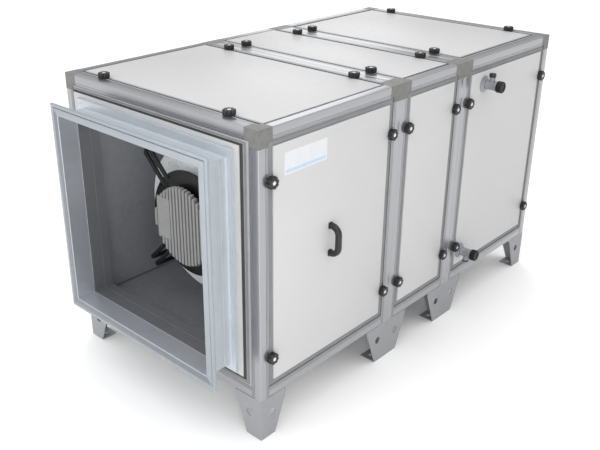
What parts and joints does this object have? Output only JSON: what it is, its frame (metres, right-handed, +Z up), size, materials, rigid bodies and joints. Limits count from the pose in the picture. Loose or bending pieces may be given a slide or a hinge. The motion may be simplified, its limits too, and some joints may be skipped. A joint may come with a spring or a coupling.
{
  "type": "heat recovery unit",
  "caption": "Modular heat recovery air-handling unit: profile-framed white panel casing on folded feet, with flanged duct collar, plug fan, filter and run-around coil.",
  "frame": {"origin": "middle of the overall box on the ground", "axes": "+Y along the air path from the duct collar's end to the rear end, +X towards the service side with doors and pipe connections, +Z up"},
  "size_m": [1.118, 2.032, 1.1883],
  "materials": {
    "anodised_profile": "satin anodised aluminium profile",
    "white_panel": "satin white coated steel skin",
    "galvanised_sheet": "galvanised steel sheet",
    "foot_steel": "zinc-plated folded sheet",
    "black_plastic": "glass-filled black nylon, fine grain",
    "black_steel": "black powder coat",
    "cast_aluminium": "die-cast, blasted",
    "wheel_aluminium": "mill finish sheet",
    "filter_media": "white synthetic fleece",
    "coil_metal": "aluminium fins, steel headers"
  },
  "bodies": {
    "casing": {"air_filter": "filter_media", "drip_tray": "galvanised_sheet", "duct_collar": "galvanised_sheet", "fan_bracket": "black_steel", "fan_motor": "cast_aluminium", "fan_wall": "galvanised_sheet", "front_back_panel": "white_panel", "front_end_wall": "white_panel", "front_floor_panel": "white_panel", "front_left_foot": "foot_steel", "front_right_foot": "foot_steel", "front_seam_left_foot": "foot_steel", "front_seam_right_foot": "foot_steel", "front_section_frame": "anodised_profile", "middle_back_panel": "white_panel", "middle_floor_panel": "white_panel", "middle_section_frame": "anodised_profile", "rear_back_panel": "white_panel", "rear_end_wall": "white_panel", "rear_floor_panel": "white_panel", "rear_left_foot": "foot_steel", "rear_right_foot": "foot_steel", "rear_seam_left_foot": "foot_steel", "rear_seam_right_foot": "foot_steel", "rear_section_frame": "anodised_profile"},
    "fan_rotor": {"fan_impeller": "wheel_aluminium"},
    "front_door": {"front_side_door": "white_panel", "door_handle": "black_plastic"},
    "middle_door": {"middle_side_door": "white_panel"},
    "coil_cassette": {"rear_coil_panel": "white_panel", "run_around_coil": "coil_metal"},
    "front_lid": {"front_top_panel": "white_panel"},
    "middle_lid": {"middle_top_panel": "white_panel"},
    "rear_lid": {"rear_top_panel": "white_panel"},
    "upper_cap": {"upper_pipe_cap": "black_plastic"},
    "lower_cap": {"lower_pipe_cap": "black_plastic"},
    "front_side_knob_upper_a_body": {"front_side_knob_upper_a": "black_plastic"},
    "front_side_knob_lower_a_body": {"front_side_knob_lower_a": "black_plastic"},
    "front_top_knob_right_a_body": {"front_top_knob_right_a": "black_plastic"},
    "front_top_knob_left_a_body": {"front_top_knob_left_a": "black_plastic"},
    "front_side_knob_upper_b_body": {"front_side_knob_upper_b": "black_plastic"},
    "front_side_knob_lower_b_body": {"front_side_knob_lower_b": "black_plastic"},
    "front_top_knob_right_b_body": {"front_top_knob_right_b": "black_plastic"},
    "front_top_knob_left_b_body": {"front_top_knob_left_b": "black_plastic"},
    "middle_side_knob_upper_a_body": {"middle_side_knob_upper_a": "black_plastic"},
    "middle_side_knob_lower_a_body": {"middle_side_knob_lower_a": "black_plastic"},
    "middle_top_knob_right_a_body": {"middle_top_knob_right_a": "black_plastic"},
    "middle_top_knob_left_a_body": {"middle_top_knob_left_a": "black_plastic"},
    "middle_side_knob_upper_b_body": {"middle_side_knob_upper_b": "black_plastic"},
    "middle_side_knob_lower_b_body": {"middle_side_knob_lower_b": "black_plastic"},
    "middle_top_knob_right_b_body": {"middle_top_knob_right_b": "black_plastic"},
    "middle_top_knob_left_b_body": {"middle_top_knob_left_b": "black_plastic"},
    "rear_side_knob_upper_a_body": {"rear_side_knob_upper_a": "black_plastic"},
    "rear_side_knob_lower_a_body": {"rear_side_knob_lower_a": "black_plastic"},
    "rear_top_knob_right_a_body": {"rear_top_knob_right_a": "black_plastic"},
    "rear_top_knob_left_a_body": {"rear_top_knob_left_a": "black_plastic"},
    "rear_side_knob_upper_b_body": {"rear_side_knob_upper_b": "black_plastic"},
    "rear_side_knob_lower_b_body": {"rear_side_knob_lower_b": "black_plastic"},
    "rear_top_knob_right_b_body": {"rear_top_knob_right_b": "black_plastic"},
    "rear_top_knob_left_b_body": {"rear_top_knob_left_b": "black_plastic"}
  },
  "joints": [
    {"name": "fan_rotation", "type": "hinge", "parent": "casing", "child": "fan_rotor", "pos_m": [-0.044, -0.664, 0.643], "axis": [0, 1, 0], "continuous": true},
    {"name": "front_door_lift_off", "type": "slide", "parent": "casing", "child": "front_door", "axis": [1, 0, 0], "range_m": [0, 0.15]},
    {"name": "middle_door_lift_off", "type": "slide", "parent": "casing", "child": "middle_door", "axis": [1, 0, 0], "range_m": [0, 0.15]},
    {"name": "coil_withdrawal", "type": "slide", "parent": "casing", "child": "coil_cassette", "axis": [1, 0, 0], "range_m": [0, 0.45]},
    {"name": "front_lid_lift_off", "type": "slide", "parent": "casing", "child": "front_lid", "axis": [0, 0, 1], "range_m": [0, 0.15]},
    {"name": "middle_lid_lift_off", "type": "slide", "parent": "casing", "child": "middle_lid", "axis": [0, 0, 1], "range_m": [0, 0.15]},
    {"name": "rear_lid_lift_off", "type": "slide", "parent": "casing", "child": "rear_lid", "axis": [0, 0, 1], "range_m": [0, 0.15]},
    {"name": "upper_cap_turn", "type": "hinge", "parent": "coil_cassette", "child": "upper_cap", "pos_m": [0.5343, 0.459, 1.047], "axis": [1, 0, 0], "range_deg": [0, 720]},
    {"name": "lower_cap_turn", "type": "hinge", "parent": "coil_cassette", "child": "lower_cap", "pos_m": [0.5343, 0.393, 0.296], "axis": [1, 0, 0], "range_deg": [0, 720]},
    {"name": "front_side_knob_upper_a_turn", "type": "hinge", "parent": "front_door", "child": "front_side_knob_upper_a_body", "pos_m": [0.471, -0.8325, 0.988], "axis": [1, 0, 0], "range_deg": [0, 90]},
    {"name": "front_side_knob_lower_a_turn", "type": "hinge", "parent": "front_door", "child": "front_side_knob_lower_a_body", "pos_m": [0.471, -0.8325, 0.333], "axis": [1, 0, 0], "range_deg": [0, 90]},
    {"name": "front_top_knob_right_a_turn", "type": "hinge", "parent": "front_lid", "child": "front_top_knob_right_a_body", "pos_m": [0.291, -0.8325, 1.168], "axis": [0, 0, 1], "range_deg": [0, 90]},
    {"name": "front_top_knob_left_a_turn", "type": "hinge", "parent": "front_lid", "child": "front_top_knob_left_a_body", "pos_m": [-0.379, -0.8325, 1.168], "axis": [0, 0, 1], "range_deg": [0, 90]},
    {"name": "front_side_knob_upper_b_turn", "type": "hinge", "parent": "front_door", "child": "front_side_knob_upper_b_body", "pos_m": [0.471, -0.19365, 0.988], "axis": [1, 0, 0], "range_deg": [0, 90]},
    {"name": "front_side_knob_lower_b_turn", "type": "hinge", "parent": "front_door", "child": "front_side_knob_lower_b_body", "pos_m": [0.471, -0.19365, 0.333], "axis": [1, 0, 0], "range_deg": [0, 90]},
    {"name": "front_top_knob_right_b_turn", "type": "hinge", "parent": "front_lid", "child": "front_top_knob_right_b_body", "pos_m": [0.291, -0.19365, 1.168], "axis": [0, 0, 1], "range_deg": [0, 90]},
    {"name": "front_top_knob_left_b_turn", "type": "hinge", "parent": "front_lid", "child": "front_top_knob_left_b_body", "pos_m": [-0.379, -0.19365, 1.168], "axis": [0, 0, 1], "range_deg": [0, 90]},
    {"name": "middle_side_knob_upper_a_turn", "type": "hinge", "parent": "middle_door", "child": "middle_side_knob_upper_a_body", "pos_m": [0.471, -0.09035, 0.988], "axis": [1, 0, 0], "range_deg": [0, 90]},
    {"name": "middle_side_knob_lower_a_turn", "type": "hinge", "parent": "middle_door", "child": "middle_side_knob_lower_a_body", "pos_m": [0.471, -0.09035, 0.333], "axis": [1, 0, 0], "range_deg": [0, 90]},
    {"name": "middle_top_knob_right_a_turn", "type": "hinge", "parent": "middle_lid", "child": "middle_top_knob_right_a_body", "pos_m": [0.291, -0.09035, 1.168], "axis": [0, 0, 1], "range_deg": [0, 90]},
    {"name": "middle_top_knob_left_a_turn", "type": "hinge", "parent": "middle_lid", "child": "middle_top_knob_left_a_body", "pos_m": [-0.379, -0.09035, 1.168], "axis": [0, 0, 1], "range_deg": [0, 90]},
    {"name": "middle_side_knob_upper_b_turn", "type": "hinge", "parent": "middle_door", "child": "middle_side_knob_upper_b_body", "pos_m": [0.471, 0.23885, 0.988], "axis": [1, 0, 0], "range_deg": [0, 90]},
    {"name": "middle_side_knob_lower_b_turn", "type": "hinge", "parent": "middle_door", "child": "middle_side_knob_lower_b_body", "pos_m": [0.471, 0.23885, 0.333], "axis": [1, 0, 0], "range_deg": [0, 90]},
    {"name": "middle_top_knob_right_b_turn", "type": "hinge", "parent": "middle_lid", "child": "middle_top_knob_right_b_body", "pos_m": [0.291, 0.23885, 1.168], "axis": [0, 0, 1], "range_deg": [0, 90]},
    {"name": "middle_top_knob_left_b_turn", "type": "hinge", "parent": "middle_lid", "child": "middle_top_knob_left_b_body", "pos_m": [-0.379, 0.23885, 1.168], "axis": [0, 0, 1], "range_deg": [0, 90]},
    {"name": "rear_side_knob_upper_a_turn", "type": "hinge", "parent": "coil_cassette", "child": "rear_side_knob_upper_a_body", "pos_m": [0.471, 0.34215, 0.988], "axis": [1, 0, 0], "range_deg": [0, 90]},
    {"name": "rear_side_knob_lower_a_turn", "type": "hinge", "parent": "coil_cassette", "child": "rear_side_knob_lower_a_body", "pos_m": [0.471, 0.34215, 0.333], "axis": [1, 0, 0], "range_deg": [0, 90]},
    {"name": "rear_top_knob_right_a_turn", "type": "hinge", "parent": "rear_lid", "child": "rear_top_knob_right_a_body", "pos_m": [0.291, 0.34215, 1.168], "axis": [0, 0, 1], "range_deg": [0, 90]},
    {"name": "rear_top_knob_left_a_turn", "type": "hinge", "parent": "rear_lid", "child": "rear_top_knob_left_a_body", "pos_m": [-0.379, 0.34215, 1.168], "axis": [0, 0, 1], "range_deg": [0, 90]},
    {"name": "rear_side_knob_upper_b_turn", "type": "hinge", "parent": "coil_cassette", "child": "rear_side_knob_upper_b_body", "pos_m": [0.471, 0.9645, 0.988], "axis": [1, 0, 0], "range_deg": [0, 90]},
    {"name": "rear_side_knob_lower_b_turn", "type": "hinge", "parent": "coil_cassette", "child": "rear_side_knob_lower_b_body", "pos_m": [0.471, 0.9645, 0.333], "axis": [1, 0, 0], "range_deg": [0, 90]},
    {"name": "rear_top_knob_right_b_turn", "type": "hinge", "parent": "rear_lid", "child": "rear_top_knob_right_b_body", "pos_m": [0.291, 0.9645, 1.168], "axis": [0, 0, 1], "range_deg": [0, 90]},
    {"name": "rear_top_knob_left_b_turn", "type": "hinge", "parent": "rear_lid", "child": "rear_top_knob_left_b_body", "pos_m": [-0.379, 0.9645, 1.168], "axis": [0, 0, 1], "range_deg": [0, 90]}
  ]
}
